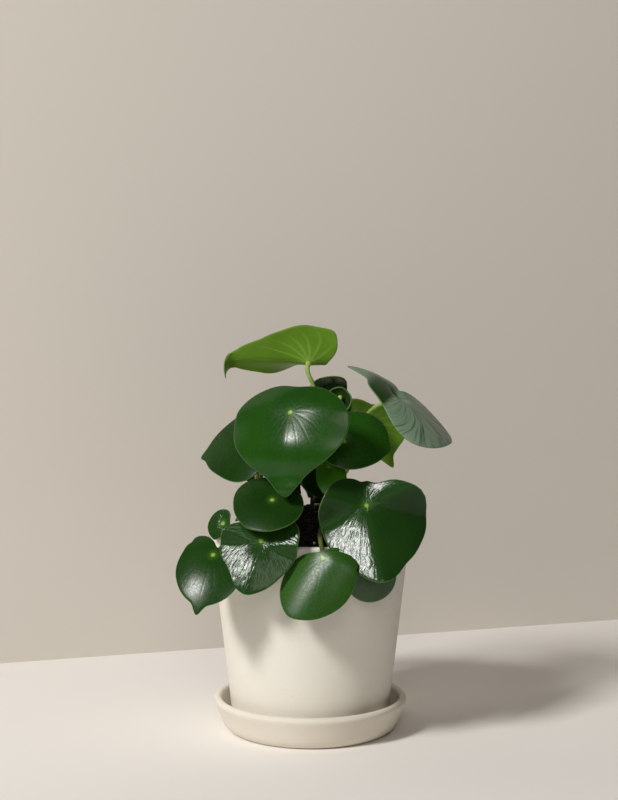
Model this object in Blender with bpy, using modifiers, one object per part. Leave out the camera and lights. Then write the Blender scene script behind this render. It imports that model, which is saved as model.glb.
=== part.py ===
"""Potted raindrop peperomia in a ceramic pot on a saucer.

Metres, +Z up. The origin is the middle of the saucer's underside, and -Y is the front.
"""
import math

import bmesh
import bpy
from mathutils import Matrix, Vector

MM = 0.001
GAP = 0.0003
MERGE = 0.00001

# Pot, saucer and soil, in millimetres; the saucer's side is given inward of its rim, and by height
POT_RIM_RADIUS = 63.5
POT_RIM_HEIGHT = 127.0
POT_BASE_RADIUS = 49.5
POT_WALL = 4.5
POT_FLOOR = 7.0
POT_LIP_ROUND = 1.6
POT_FOOT_ROUND = 2.5
DRAIN_RADIUS = 6.0
SAUCER_RIM_RADIUS = 61.5
SAUCER_RIM_HEIGHT = 21.5
SAUCER_BASE_RADIUS = 50.5
SAUCER_WALL = 4.8
SAUCER_FLOOR = 5.0
SAUCER_SIDE = ((2.8, 12.0), (5.2, 5.5), (8.0, 1.6))
SAUCER_WELL = ((8.2, 8.5), (10.5, SAUCER_FLOOR))
SOIL_EDGE_HEIGHT = 122.5
SOIL_CROWN_HEIGHT = 140.0
SOIL_DEPTH = 60.0
SOIL_RINGS = (0.0, 0.3, 0.6, 0.85, 1.0)
ROUND_STEPS = 40
EDGE_STEPS = 3

# Stems, in millimetres: foot at the soil's surface, top, and radius at the foot
STEM_SINK = 22.0
STEM_END_ABOVE_HOLE = 1.0
STEM_TAPER = 0.3
HOLE_SLACK = 1.12
STEMS = {
    "stem_1": {"foot": (-9, -4), "top": (-9, -6, 178), "radius": 3.3},
    "stem_2": {"foot": (15, 2), "top": (16, 2, 171), "radius": 3.2},
    "stem_3": {"foot": (-29, 6), "top": (-33, 8, 161), "radius": 3.0},
    "stem_4": {"foot": (1.2, -4), "top": (1.2, -5, 151), "radius": 1.5},
}

# Blades, in millimetres and radians; the pinch beside the tip is placed by angle
BLADE_THICKNESS = 1.0
BLADE_STEPS = 24
BLADE_RINGS = (0.28, 0.55, 0.8, 1.0)
TIP_CROWDING = 0.6
PINCH_PLACE = 0.42
PINCH_WIDTH = 0.22
CREASE_ROUND = 3.0
FOLD_CHANGE = 6.0
DIMPLE_SHARE = 0.3
MIDRIB_STEPS = 24

# Petioles, in millimetres
PETIOLE_FOOT_RADIUS = 1.7
PETIOLE_HEAD_RADIUS = 1.35
PETIOLE_START = 6.0
SINK_IN_BLADE = 0.5


def leaf(stem, height, umbo, facing, lift, turn, reach, **form):
    """One leaf, in millimetres and degrees.

    stem, height: the stem that carries the leaf and how high up the petiole leaves it.
    umbo: the point of the upper face above the petiole's end.
    facing, lift: where the upper face looks, as an angle from the front toward +X, and upward.
    turn: how far the tip is turned in the blade's plane, from straight downhill.
    reach: from umbo to margin every 45 degrees, from the base by the right side to the tip and back.
    via: points that the petiole passes, between the stem and the blade.
    rise: the petiole's slope where it leaves the stem.
    approach: how far under the umbo the petiole turns square to the blade; 0 means that it doesn't.
    stout: the petiole's thickness, as a share of the largest.
    drip, drip_width: length of the drawn-out tip and its width as an angle; pinch narrows its sides.
    tip, base, left, right: how far the blade bends down by each of its sides.
    left_tip: more bend on the left toward the tip.
    fold, base_fold: crease along the midrib, toward the tip and toward the base.
    curl, curl_from, curl_power: bend of the tip's end, where on the midrib it begins and how it grows.
    marks: bumps and notches of the margin, each with its angle, width and depth.
    dimple: height of the umbo's hump, or depth of its hollow seen from below.
    """
    shape = {
        "drip": 3, "drip_width": 0.16, "pinch": 0, "dimple": 2.0, "fold": 0, "base_fold": None,
        "tip": 20, "base": 10, "left": 15, "right": 15, "left_tip": 0,
        "curl": 0, "curl_from": 0.7, "curl_power": 1.5, "marks": (),
        "via": (), "rise": 45, "approach": 12, "stout": 1.0,
    }
    shape.update(form)
    if shape["base_fold"] is None:
        shape["base_fold"] = shape["fold"]
    shape.update(stem=stem, height=height, umbo=umbo, facing=facing, lift=lift, turn=turn, reach=reach)
    return shape


LEAVES = {
    "leaf_01": leaf("stem_1", 176, (-1, 0, 234.5), 172, 45, 93, (12, 23, 27.5, 29.5, 49.5, 33, 20, 12),
                    drip=11.5, drip_width=0.1, pinch=4, tip=8, curl=95, curl_from=0.97, curl_power=0.3,
                    fold=-30, left=-50, left_tip=145, marks=((60, 12, 3.5),),
                    via=((2, -5, 219),), approach=7),
    "leaf_02": leaf("stem_1", 166, (-12, -60, 208.5), -21, 29, -4, (18, 26, 36, 38.5, 40.5, 40.5, 38, 26),
                    drip=11, drip_width=0.15, tip=36, base=25, left=25, right=25, dimple=1, curl=10),
    "leaf_03": leaf("stem_3", 157, (-38.5, -25, 188), -35, 40, -70, (15, 22, 30, 29, 32, 25, 24, 22),
                    drip=5, drip_width=0.12),
    "leaf_04": leaf("stem_1", 148, (-23, -60, 155.5), -10, 50, -32, (14, 18, 22, 23, 23.5, 24, 25, 19),
                    drip=0.5, rise=10),
    "leaf_05": leaf("stem_3", 140, (-54, -30, 136.5), -30, 20, -20, (8.5, 5.5, 6.5, 7, 11, 11, 9.5, 9),
                    drip=0.5, dimple=0.8, tip=0, base=0, left=-5, right=-12, stout=0.6,
                    via=((-44, -24, 133.5),), approach=0, rise=0),
    "leaf_06": leaf("stem_3", 146, (-58.5, -62, 122.5), -11, 38, -9, (6.5, 8, 15.2, 27, 32.5, 26.5, 20, 19),
                    drip=6, drip_width=0.1, tip=18, base=10, left=12, right=12, dimple=1,
                    marks=((295, 8, -1.5),),
                    via=((-43, -34, 133), (-48.5, -45.5, 130.8)), approach=0, rise=0),
    "leaf_07": leaf("stem_1", 142, (-29.5, -65, 131.5), -11, 26, -12, (7, 23, 22.5, 19.5, 31, 27.5, 24, 13),
                    drip=1, tip=24, base=20, left=12, right=-2, fold=9, base_fold=-9, dimple=1,
                    via=((-24, -46, 134), (-27, -57.5, 131.2)), approach=0, rise=0),
    "leaf_08": leaf("stem_2", 146.5, (7.5, -74, 122.7), -21, 25, -24, (7.5, 17.5, 24, 31.5, 37, 25, 8, 5),
                    drip=1, tip=10, base=20, left=18, right=24, dimple=1, marks=((38, 12, -3.5),),
                    via=((6, -45, 133), (6, -60, 131.3)), approach=0, rise=0),
    "leaf_09": leaf("stem_2", 150, (33.8, -58, 151.9), 3, 27, 9, (17, 16.5, 37, 41, 48, 36, 29.5, 22.5),
                    drip=1, pinch=2.5, tip=2, base=8, left=2, right=12, fold=22, base_fold=-20, dimple=2,
                    rise=10, marks=((0, 9, -3.5),)),
    "leaf_10": leaf("stem_2", 142, (37, -58, 112.5), 15, 5, 0, (12, 16, 16, 18.5, 19.5, 19, 15, 14),
                    drip=0, via=((33, -44, 133), (38, -53.5, 129.8), (38.5, -55.5, 122)),
                    approach=0, rise=0),
    "leaf_11": leaf("stem_2", 167, (52.5, -20, 213), 67, 48, 188, (43, 40, 24.5, 23, 29, 12, 9.5, 45),
                    drip=6, pinch=4, dimple=5, tip=25, left=8, right=20,
                    via=((33, -4, 196), (41, -14, 207.5)), approach=0),
    "leaf_12": leaf("stem_2", 163, (36.5, 15, 191), 190, 20, -35, (25, 23, 21, 18, 25, 26, 27, 17),
                    drip=7, drip_width=0.12, pinch=1),
    "leaf_13": leaf("stem_2", 160, (21, -30, 187.5), 10, 35, 81, (14, 18, 22, 31, 28, 21.5, 19, 18),
                    drip=2),
    "leaf_14": leaf("stem_2", 155, (11, -35, 172), 10, 38, -10, (8, 9, 11, 16, 17.5, 10, 7, 7),
                    drip=1, dimple=1, via=((22, -18, 160),), approach=8, rise=0, stout=0.7),
    "leaf_15": leaf("stem_1", 172, (14.5, 16, 216.3), 180, 50, -75, (15, 13, 11, 10.5, 9, 10.5, 17, 16),
                    drip=1, dimple=1, tip=10, stout=0.8),
    "leaf_16": leaf("stem_1", 161, (19, -5, 213.5), 170, 40, -80, (8, 9, 14, 16, 16, 8, 8, 8),
                    drip=2, dimple=1, tip=130, base=20, left=10, right=10, stout=0.8),
    "leaf_17": leaf("stem_4", 147, (9, -18, 166), -5, 30, 15, (9, 7, 6, 9, 15, 16, 15.5, 12),
                    drip=1, dimple=1, approach=7, stout=0.7),
    "leaf_18": leaf("stem_4", 149.5, (-12, 48, 190), 180, 35, 0, (15, 20, 24, 27, 30, 27, 24, 20),
                    via=((-11, 12, 162),), stout=0.8),
    "leaf_19": leaf("stem_2", 152, (52, 43, 130), 125, 30, 0, (14, 18, 21, 24, 26, 24, 21, 18),
                    via=((38, 31, 135),), approach=0, rise=0),
    "leaf_20": leaf("stem_2", 156, (34, 32, 182), 150, 40, 20, (10, 13, 16, 17, 19, 17, 16, 13),
                    via=((21, 20, 159),), approach=5, rise=20),
    "leaf_21": leaf("stem_3", 152, (-36, 36, 172), 215, 35, -10, (11, 15, 18, 19, 21, 19, 18, 15)),
    "leaf_22": leaf("stem_3", 141, (-26, 74, 112), 195, 15, 0, (12, 16, 19, 21, 24, 21, 19, 16),
                    via=((-21, 48, 133), (-24, 59, 130.5)), approach=0, rise=0),
    "leaf_23": leaf("stem_2", 146, (24, 74, 106), 165, 15, 0, (12, 16, 19, 21, 24, 21, 19, 16),
                    via=((29, 42, 134), (26, 59, 130.5)), approach=0, rise=0),
    "leaf_24": leaf("stem_3", 146, (-38, 60, 126), 215, 25, 0, (10, 13, 15, 17, 20, 17, 15, 13),
                    via=((-38, 44, 134), (-37, 52, 131.5)), approach=0, rise=0),
    "leaf_25": leaf("stem_4", 143, (12, 40, 139.5), 180, 35, 0, (7, 10, 11, 10, 9, 10, 11, 10),
                    drip=1, dimple=1, approach=4, rise=0, stout=0.7),
}

YOUNG_LEAVES = ("leaf_01", "leaf_08", "leaf_12", "leaf_14")


def empty_the_scene():
    for item in list(bpy.data.objects):
        bpy.data.objects.remove(item, do_unlink=True)


def new_collection(name):
    collection = bpy.data.collections.new(name)
    bpy.context.scene.collection.children.link(collection)
    return collection


def material(name, colour, roughness):
    surface = bpy.data.materials.new(name)
    surface.use_nodes = True
    shader = surface.node_tree.nodes["Principled BSDF"]
    shader.inputs["Base Color"].default_value = (*colour, 1.0)
    shader.inputs["Roughness"].default_value = roughness
    shader.inputs["Metallic"].default_value = 0.0
    surface.diffuse_color = (*colour, 1.0)
    return surface


def add_object(name, mesh, collection, surface=None):
    item = bpy.data.objects.new(name, mesh)
    collection.objects.link(item)
    if surface:
        mesh.materials.append(surface)
    return item


def evaluated_mesh(item):
    """The item's mesh after its modifiers, welded, in a new data block."""
    bpy.context.view_layer.update()
    evaluated = item.evaluated_get(bpy.context.evaluated_depsgraph_get())
    mesh = bpy.data.meshes.new_from_object(evaluated)
    cage = bmesh.new()
    cage.from_mesh(mesh)
    bmesh.ops.remove_doubles(cage, verts=cage.verts, dist=MERGE)
    bmesh.ops.recalc_face_normals(cage, faces=cage.faces)
    cage.to_mesh(mesh)
    cage.free()
    return mesh


def arc(middle, radius, first, last, steps):
    """Points on a circle in the profile's plane, from angle first to angle last in degrees."""
    points = []
    for step in range(steps + 1):
        angle = math.radians(first + (last - first) * step / steps)
        points.append((middle[0] + radius * math.cos(angle), middle[1] + radius * math.sin(angle)))
    return points


def turned(name, profile, collection, surface):
    """A solid turned about Z from a profile of (radius, height) in millimetres, top to bottom outside."""
    mesh = bpy.data.meshes.new(name)
    outline = bmesh.new()
    corners = [outline.verts.new((radius * MM, 0, height * MM)) for radius, height in profile]
    for first, second in zip(corners, corners[1:] + corners[:1]):
        if first.co.x > MERGE or second.co.x > MERGE:
            outline.edges.new((first, second))
    outline.to_mesh(mesh)
    outline.free()
    item = add_object(name, mesh, collection, surface)
    screw = item.modifiers.new("Screw", "SCREW")
    screw.steps = ROUND_STEPS
    screw.render_steps = ROUND_STEPS
    screw.use_merge_vertices = True
    screw.merge_threshold = MERGE
    screw.use_smooth_shade = True
    return item


def pot_radius(height):
    """Outer radius of the tapered wall at a height."""
    share = (height - SAUCER_FLOOR) / (POT_RIM_HEIGHT - SAUCER_FLOOR)
    return POT_BASE_RADIUS + (POT_RIM_RADIUS - POT_BASE_RADIUS) * share


def make_pot(collection, surface):
    foot = SAUCER_FLOOR + GAP / MM
    floor = foot + POT_FLOOR
    lip = POT_RIM_HEIGHT - POT_LIP_ROUND
    profile = []
    profile += arc((pot_radius(lip) - POT_LIP_ROUND, lip), POT_LIP_ROUND, 90, 0, EDGE_STEPS)
    heel = (POT_BASE_RADIUS - POT_FOOT_ROUND, foot + POT_FOOT_ROUND)
    profile += arc(heel, POT_FOOT_ROUND, 0, -90, EDGE_STEPS)
    profile.append((DRAIN_RADIUS, foot))
    profile.append((DRAIN_RADIUS, floor))
    profile.append((pot_radius(floor) - POT_WALL, floor))
    profile += arc((pot_radius(lip) - POT_WALL + POT_LIP_ROUND, lip), POT_LIP_ROUND, 180, 90, EDGE_STEPS)
    return turned("pot", profile, collection, surface)


def make_saucer(collection, surface):
    half_wall = SAUCER_WALL / 2
    middle = (SAUCER_RIM_RADIUS - half_wall, SAUCER_RIM_HEIGHT - half_wall)
    profile = arc(middle, half_wall, 90, 0, EDGE_STEPS)
    profile += [(SAUCER_RIM_RADIUS - inset, height) for inset, height in SAUCER_SIDE]
    profile += [(SAUCER_BASE_RADIUS, 0.0), (0.0, 0.0), (0.0, SAUCER_FLOOR)]
    profile += [(SAUCER_RIM_RADIUS - inset, height) for inset, height in reversed(SAUCER_WELL)]
    profile += arc(middle, half_wall, 180, 120, EDGE_STEPS - 1)
    return turned("saucer", profile, collection, surface)


def soil_height(radius):
    """Height of the domed soil at a distance from the pot's axis."""
    wall = pot_radius(SOIL_EDGE_HEIGHT) - POT_WALL
    share = min(radius / wall, 1.0)
    return SOIL_EDGE_HEIGHT + (SOIL_CROWN_HEIGHT - SOIL_EDGE_HEIGHT) * (1 - share ** 2)


def make_soil(collection, cutters, surface):
    bottom = SOIL_EDGE_HEIGHT - SOIL_DEPTH
    clear = POT_WALL + GAP / MM
    wall = pot_radius(SOIL_EDGE_HEIGHT) - clear
    profile = [(wall * share, soil_height(wall * share)) for share in SOIL_RINGS]
    profile += [(pot_radius(bottom) - clear, bottom), (0.0, bottom)]
    soil = turned("soil", profile, collection, surface)
    for name, stem in STEMS.items():
        foot_x, foot_y = stem["foot"]
        level = soil_height(math.hypot(foot_x, foot_y))
        bpy.ops.mesh.primitive_cylinder_add(
            vertices=16, radius=stem["radius"] * HOLE_SLACK * MM + GAP, depth=2 * STEM_SINK * MM,
            location=(foot_x * MM, foot_y * MM, level * MM))
        hole = bpy.context.object
        hole.name = "hole_" + name
        hole.hide_render = True
        hole.display_type = "WIRE"
        for owner in list(hole.users_collection):
            owner.objects.unlink(hole)
        cutters.objects.link(hole)
        cut = soil.modifiers.new("Hole", "BOOLEAN")
        cut.operation = "DIFFERENCE"
        cut.object = hole
    return soil


def tube(name, points, radii, steps, collection):
    """A round, tapered stalk through points in metres, as a mesh with filled ends."""
    curve = bpy.data.curves.new(name, "CURVE")
    curve.dimensions = "3D"
    curve.bevel_depth = 1.0
    curve.bevel_resolution = 1
    curve.resolution_u = steps
    curve.use_fill_caps = True
    spline = curve.splines.new("BEZIER")
    spline.bezier_points.add(len(points) - 1)
    for knot, point, radius in zip(spline.bezier_points, points, radii):
        knot.co = point
        knot.radius = radius
        knot.handle_left_type = "AUTO"
        knot.handle_right_type = "AUTO"
    item = bpy.data.objects.new(name + "_route", curve)
    collection.objects.link(item)
    mesh = evaluated_mesh(item)
    stalk = add_object(name + "_stalk", mesh, collection)
    stalk.matrix_world = item.matrix_world.copy()
    bpy.data.objects.remove(item, do_unlink=True)
    return stalk


def make_stem(name, stem, collection, surface):
    foot_x, foot_y = stem["foot"]
    level = soil_height(math.hypot(foot_x, foot_y))
    foot = Vector((foot_x, foot_y, level - STEM_SINK + STEM_END_ABOVE_HOLE)) * MM
    ground = Vector((foot_x, foot_y, level)) * MM
    top = Vector(stem["top"]) * MM
    radius = stem["radius"] * MM
    route = [foot, ground, ground.lerp(top, 0.5), top]
    radii = [radius, radius, radius * (1 - STEM_TAPER * 0.5), radius * (1 - STEM_TAPER)]
    stalk = tube(name, route, radii, 3, collection)
    stalk.name = name
    stalk.data.materials.append(surface)
    return stalk


def stem_point(name, height):
    """A stem's axis and radius at a height, in millimetres."""
    stem = STEMS[name]
    foot_x, foot_y = stem["foot"]
    level = soil_height(math.hypot(foot_x, foot_y))
    ground = Vector((foot_x, foot_y, level))
    top = Vector(stem["top"])
    share = (height - level) / (top.z - level)
    return ground.lerp(top, share), stem["radius"] * (1 - STEM_TAPER * share)


def blade_axes(shape):
    """The blade's right, tip and upper directions at its umbo."""
    facing = math.radians(shape["facing"])
    lift = math.radians(shape["lift"])
    turn = math.radians(shape["turn"])
    level = Vector((math.sin(facing), -math.cos(facing), 0.0))
    rising = Vector((0.0, 0.0, 1.0))
    upper = level * math.cos(lift) + rising * math.sin(lift)
    downhill = level * math.sin(lift) - rising * math.cos(lift)
    tip = downhill * math.cos(turn) + upper.cross(downhill) * math.sin(turn)
    return upper.cross(tip), tip, upper


def reach_at(shape, angle):
    """Distance from umbo to margin, a smooth closed curve through the eight reaches."""
    place = angle / (2 * math.pi) * 8
    index = math.floor(place)
    share = place - index
    before, here, after, beyond = [shape["reach"][(index + step) % 8] for step in (-1, 0, 1, 2)]
    square = 2 * before - 5 * here + 4 * after - beyond
    cube = 3 * (here - after) + beyond - before
    distance = here + 0.5 * (share * (after - before) + share ** 2 * square + share ** 3 * cube)
    beside_tip = (abs(angle - math.pi) - PINCH_PLACE) / PINCH_WIDTH
    distance -= shape["pinch"] * math.exp(-beside_tip ** 2)
    for mark_place, width, depth in shape["marks"]:
        off = (math.degrees(angle) - mark_place + 180) % 360 - 180
        distance += depth * math.exp(-((off / width) ** 2))
    return distance


def midrib(shape, along):
    """Distance along, depth below and slope of the bent midrib, at a distance from the umbo."""
    tip_reach = shape["reach"][4]
    base_reach = shape["reach"][0]
    curl_start = shape["curl_from"] * tip_reach
    curl_end = tip_reach + shape["drip"]
    forward = 0.0
    down = 0.0
    slope = 0.0
    for step in range(MIDRIB_STEPS):
        here = along * (step + 0.5) / MIDRIB_STEPS
        slope = shape["tip"] * here / tip_reach if here > 0 else shape["base"] * here / base_reach
        share = min(max((here - curl_start) / (curl_end - curl_start), 0.0), 1.0)
        slope = math.radians(slope + shape["curl"] * share ** shape["curl_power"])
        forward += math.cos(slope) * along / MIDRIB_STEPS
        down += math.sin(slope) * along / MIDRIB_STEPS
    return forward, down, slope


def blade_point(shape, share, angle):
    """A point of the upper face: its share of the way to the margin, at an angle from the base."""
    distance = reach_at(shape, angle)
    drip = shape["drip"] * math.exp(-((angle - math.pi) / shape["drip_width"]) ** 2)
    across = share * distance * math.sin(angle)
    along = -share * distance * math.cos(angle) + share ** 2 * drip
    half_width = (shape["reach"][2] + shape["reach"][6]) / 2
    forward, down, slope = midrib(shape, along)
    droop = shape["right"] if across > 0 else shape["left"] + shape["left_tip"] * along / shape["reach"][4]
    bow = math.radians(droop) * abs(across) / half_width
    if abs(bow) < 1e-6:
        bow = 1e-6
    tipward = 0.5 + 0.5 * math.tanh(along / FOLD_CHANGE)
    fold = math.radians(shape["base_fold"] + (shape["fold"] - shape["base_fold"]) * tipward)
    creased = math.hypot(across, CREASE_ROUND) - CREASE_ROUND
    side = abs(across) * math.sin(bow) / bow - (1 - math.cos(fold)) * creased
    drop = abs(across) * (1 - math.cos(bow)) / bow + creased * math.sin(fold)
    dimple_radius = DIMPLE_SHARE * half_width
    drop += shape["dimple"] * (math.exp(-((across ** 2 + along ** 2) / dimple_radius ** 2)) - 1)
    right, tip, upper = blade_axes(shape)
    point = Vector(shape["umbo"]) + right * math.copysign(side, across)
    point += tip * (forward - drop * math.sin(slope)) + upper * (-down - drop * math.cos(slope))
    return point * MM


def make_blade(name, shape, collection):
    """A disc spun from a straight line, bent into the blade and given its thickness."""
    disc = bmesh.new()
    line = [disc.verts.new((share, 0, 0)) for share in (0.0, *BLADE_RINGS)]
    edges = [disc.edges.new(pair) for pair in zip(line, line[1:])]
    bmesh.ops.spin(disc, geom=line + edges, cent=(0, 0, 0), axis=(0, 0, 1), angle=2 * math.pi,
                   steps=BLADE_STEPS, use_merge=True)
    bmesh.ops.remove_doubles(disc, verts=disc.verts, dist=MERGE)
    bmesh.ops.triangulate(disc, faces=disc.faces)
    for corner in disc.verts:
        share = math.hypot(corner.co.x, corner.co.y)
        turn = math.atan2(corner.co.y, corner.co.x) % (2 * math.pi)
        angle = turn + TIP_CROWDING * math.sin(turn)
        corner.co = blade_point(shape, share, angle) if share > 1e-6 else Vector(shape["umbo"]) * MM
    bmesh.ops.recalc_face_normals(disc, faces=disc.faces)
    upper = blade_axes(shape)[2]
    middle = min(disc.verts, key=lambda corner: (corner.co - Vector(shape["umbo"]) * MM).length)
    if middle.link_faces[0].normal.dot(upper) < 0:
        bmesh.ops.reverse_faces(disc, faces=disc.faces)
    mesh = bpy.data.meshes.new(name)
    disc.to_mesh(mesh)
    disc.free()
    mesh.shade_smooth()
    blade = add_object(name, mesh, collection)
    thick = blade.modifiers.new("Thickness", "SOLIDIFY")
    thick.thickness = BLADE_THICKNESS * MM
    thick.offset = -1.0
    solid = evaluated_mesh(blade)
    blade.modifiers.clear()
    blade.data = solid
    return blade


def petiole_route(shape):
    """Points of the petiole in metres, from beside the stem to inside the blade."""
    umbo = Vector(shape["umbo"])
    upper = blade_axes(shape)[2]
    axis, radius = stem_point(shape["stem"], shape["height"])
    outward = Vector(shape["via"][0]) - axis if shape["via"] else umbo - axis
    outward.z = 0
    outward.normalize()
    rise = math.radians(shape["rise"])
    foot_radius = PETIOLE_FOOT_RADIUS * shape["stout"]
    start = axis + outward * (radius + GAP / MM + foot_radius * math.sin(rise))
    leave = start + (outward * math.cos(rise) + Vector((0, 0, math.sin(rise)))) * PETIOLE_START
    route = [start, leave] + [Vector(point) for point in shape["via"]]
    if shape["approach"]:
        route.append(umbo - upper * shape["approach"])
    slant = (umbo - route[-1]).normalized().cross(upper).length
    route.append(umbo - upper * (SINK_IN_BLADE + 0.8 * PETIOLE_HEAD_RADIUS * shape["stout"] * slant))
    return [point * MM for point in route]


def make_leaf(name, shape, collection, surface):
    blade = make_blade(name, shape, collection)
    route = petiole_route(shape)
    last = len(route) - 1
    span = PETIOLE_FOOT_RADIUS - PETIOLE_HEAD_RADIUS
    unit = shape["stout"] * MM
    radii = [(PETIOLE_FOOT_RADIUS - span * step / last) * unit for step in range(last + 1)]
    stalk = tube(name, route, radii, 2, collection)
    join = blade.modifiers.new("Join", "BOOLEAN")
    join.operation = "UNION"
    join.object = stalk
    joined = evaluated_mesh(blade)
    blade.modifiers.clear()
    blade.data = joined
    joined.materials.clear()
    joined.materials.append(surface)
    bpy.data.objects.remove(stalk, do_unlink=True)
    return blade


def main():
    empty_the_scene()
    parts = new_collection("potted_peperomia")
    cutters = new_collection("cutters")
    make_saucer(parts, material("saucer_ceramic", (0.76, 0.70, 0.58), 0.45))
    make_pot(parts, material("pot_ceramic", (0.80, 0.76, 0.67), 0.45))
    make_soil(parts, cutters, material("potting_soil", (0.012, 0.010, 0.008), 0.9))
    bark = material("stem_skin", (0.10, 0.12, 0.03), 0.5)
    green = material("leaf_green", (0.02, 0.09, 0.015), 0.25)
    for name, stem in STEMS.items():
        make_stem(name, stem, parts, bark)
    young_green = material("young_leaf_green", (0.10, 0.25, 0.02), 0.3)
    for name, shape in LEAVES.items():
        make_leaf(name, shape, parts, young_green if name in YOUNG_LEAVES else green)


main()
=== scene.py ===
"""Looks of a potted raindrop peperomia: fine leaves, petioles, stems, soil, ceramic, light and camera."""
import math
import random

import bpy
import numpy as np
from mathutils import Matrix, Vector


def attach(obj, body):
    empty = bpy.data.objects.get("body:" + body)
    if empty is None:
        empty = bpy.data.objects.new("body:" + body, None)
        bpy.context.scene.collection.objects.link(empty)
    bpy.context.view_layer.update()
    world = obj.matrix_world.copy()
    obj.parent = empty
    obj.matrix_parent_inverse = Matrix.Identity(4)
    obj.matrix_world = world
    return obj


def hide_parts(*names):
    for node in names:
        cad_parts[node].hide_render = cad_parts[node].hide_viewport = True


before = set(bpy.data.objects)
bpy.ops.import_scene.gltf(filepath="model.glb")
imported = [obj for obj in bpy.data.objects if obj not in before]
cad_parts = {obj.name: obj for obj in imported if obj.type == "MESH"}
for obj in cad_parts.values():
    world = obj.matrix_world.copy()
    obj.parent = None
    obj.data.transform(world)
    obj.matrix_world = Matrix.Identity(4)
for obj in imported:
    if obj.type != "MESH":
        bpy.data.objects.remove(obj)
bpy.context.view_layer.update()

MM = 0.001
GAP = 0.0003

# Pot, saucer and soil, in millimetres
POT_RIM_RADIUS = 63.5
POT_RIM_HEIGHT = 127.0
POT_BASE_RADIUS = 49.5
POT_WALL = 4.5
POT_FLOOR = 7.0
POT_LIP_ROUND = 1.9
POT_FOOT_ROUND = 2.5
POT_SIDE_STEPS = 24
DRAIN_RADIUS = 6.0
SAUCER_RIM_RADIUS = 61.5
SAUCER_RIM_HEIGHT = 21.5
SAUCER_BASE_RADIUS = 50.5
SAUCER_WALL = 4.8
SAUCER_FLOOR = 5.0
# Outer side and inner well of the saucer, each as distance in from the rim and height
SAUCER_SIDE = (
    (0.0, 18.6), (1.0, 16.4), (2.8, 12.0), (4.0, 8.6), (5.2, 5.5), (6.3, 3.4), (8.0, 1.6), (9.6, 0.5),
)
SAUCER_WELL = ((4.7, 17.0), (5.8, 12.0), (8.2, 8.0), (9.6, 6.0), (12.0, SAUCER_FLOOR))
TURNED_STEPS = 160
ROUND_STEPS = 8
CERAMIC_GLOSS = 0.62
SOIL_EDGE_HEIGHT = 122.5
SOIL_CROWN_HEIGHT = 140.0
SOIL_DEPTH = 60.0
SOIL_RINGS = 46
SOIL_STEPS = 150
SOIL_SEED = 4
SOIL_BUMPS = 520
SOIL_CLODS = 420
SOIL_GRAINS = 26

STEM_SINK = 21.0
STEM_TAPER = 0.3
STEM_SIDES = 20
STEM_CURVE_STEPS = 24
STEM_FIRST_RING = 4
STEM_RING_GAP = 8.5
STEM_RING_WIDTH = 0.9
STEM_RING_SWELL = 0.10
STEMS = {
    "stem_1": {"foot": (-9, -4), "top": (-9, -6, 178), "radius": 3.3},
    "stem_2": {"foot": (15, 2), "top": (16, 2, 171), "radius": 3.2},
    "stem_3": {"foot": (-29, 6), "top": (-33, 8, 161), "radius": 3.0},
    "stem_4": {"foot": (1.2, -4), "top": (1.2, -5, 151), "radius": 1.5},
}

# Leaves, in millimetres
BLADE_THICKNESS = 1.0
BLADE_STEPS = 132
BLADE_RINGS = 22
TIP_CROWDING = 0.6
PINCH_PLACE = 0.42
PINCH_WIDTH = 0.22
CREASE_ROUND = 3.0
DIMPLE_SHARE = 0.3
PETIOLE_FOOT_RADIUS = 1.7
PETIOLE_HEAD_RADIUS = 1.35
PETIOLE_START = 6.0
PETIOLE_SIDES = 14
PETIOLE_CURVE_STEPS = 14

# Veins and the colours that all kinds of blade share
VEINS = 14
VEIN_BEND = 0.55
VEIN_WANDER = 0.25
FAN_RAYS, FAN_STRETCH = 11.0, 0.2
LONG_FAN_RAYS, LONG_FAN_STRETCH = 26.0, 0.05
UMBO_COLOUR = (0.26, 0.44, 0.07)
UMBO_GLOW_COLOUR = (0.075, 0.190, 0.015)
MARGIN_COLOUR = (0.14, 0.24, 0.07)
# Painted shade for the hollow by the umbo, on the kind whose colour is painted sheen
HOLLOW_PAINTED_SHADE = (0.014, 0.046, 0.006)

# Floor, wall, lamps and camera, in metres and degrees; the wall's foot runs through the two points
FLOOR_REACH = 9
WALL_FOOT_LEFT = Vector((-0.226, 0.167, 0))
WALL_FOOT_RIGHT = Vector((0.252, 0.315, 0))
WALL_REACH_LEFT = 0.35
WALL_REACH_RIGHT = 1.0
WALL_HEIGHT = 0.9
LAMP_DISTANCE = 3.0
LAMP_GOAL = Vector((0, 0, 0.14))
CAMERA_PLACE = (-0.0008, -1.0644, 0.3032)
CAMERA_DOWNWARD = 4.974


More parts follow.
